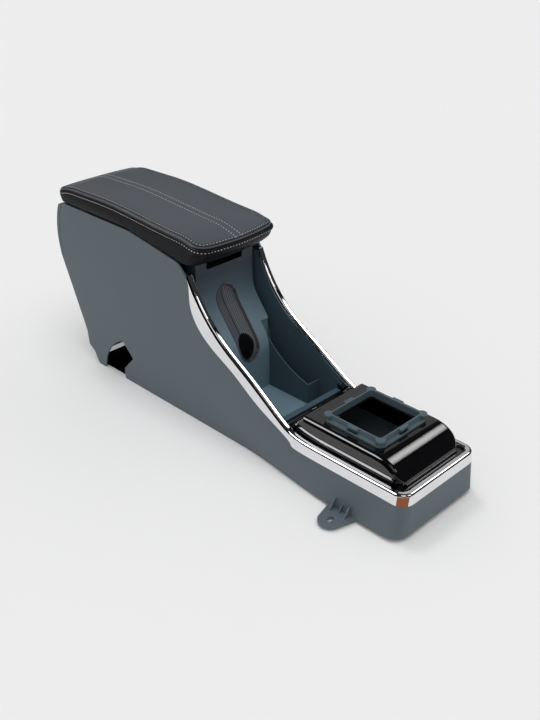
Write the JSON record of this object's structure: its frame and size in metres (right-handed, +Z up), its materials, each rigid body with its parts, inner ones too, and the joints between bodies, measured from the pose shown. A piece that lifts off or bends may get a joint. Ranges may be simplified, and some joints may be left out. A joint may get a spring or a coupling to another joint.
{
  "type": "car centre console with armrest lid",
  "caption": "Car centre console with a hinged padded armrest lid over a storage bin, an open tray with a handbrake slot, a bright rim strip and a gloss gear lever surround.",
  "frame": {"origin": "on the floor plane, at the middle of the console's length and width", "axes": "+X towards the gear lever end, +Y towards the side with the tray pocket, +Z up"},
  "size_m": [0.8529, 0.298, 0.365],
  "materials": {
    "body_plastic": "fine grained blue-grey moulding",
    "liner_plastic": "smooth dark blue-grey moulding",
    "bin_plastic": "plain dark moulding",
    "boot_rubber": "dark matte, half of it finely ribbed",
    "stop_rubber": "plain black rubber",
    "bright_trim": "bright plated",
    "clip_plastic": "plain black moulding",
    "gloss_black": "polished black",
    "frame_plastic": "blue-grey moulding",
    "peg_plastic": "plain dark moulding",
    "hinge_steel": "zinc plated",
    "screw_steel": "zinc plated",
    "leather": "grained dark grey top with a black band and pale stitching",
    "carrier_board": "plain moulding",
    "cover_plastic": "plain dark moulding"
  },
  "bodies": {
    "console": {"console_shell": "body_plastic", "rear_panel": "body_plastic", "rear_panel_screws": "screw_steel", "storage_bin": "bin_plastic", "bin_screws": "screw_steel", "tray_liner": "liner_plastic", "tray_panel": "liner_plastic", "tray_screws": "screw_steel", "handbrake_boot": "boot_rubber", "bump_stops": "stop_rubber", "chrome_trim": "bright_trim", "trim_clips": "clip_plastic", "gear_surround": "gloss_black", "surround_screws": "screw_steel", "gaiter_frame": "frame_plastic", "gaiter_frame_screws": "screw_steel", "locating_pegs": "peg_plastic", "hinge_bracket": "hinge_steel", "bracket_screws": "screw_steel", "hinge_pin": "hinge_steel", "pin_clips": "hinge_steel"},
    "lid": {"armrest_pad": "leather", "lid_carrier": "carrier_board", "lid_lower_cover": "cover_plastic", "cover_screws": "screw_steel", "hinge_leaf": "hinge_steel", "leaf_screws": "screw_steel"}
  },
  "joints": [
    {"name": "lid_hinge", "type": "hinge", "parent": "console", "child": "lid", "pos_m": [-0.4055, 0, 0.322], "axis": [0, -1, 0], "range_deg": [0, 90]}
  ]
}
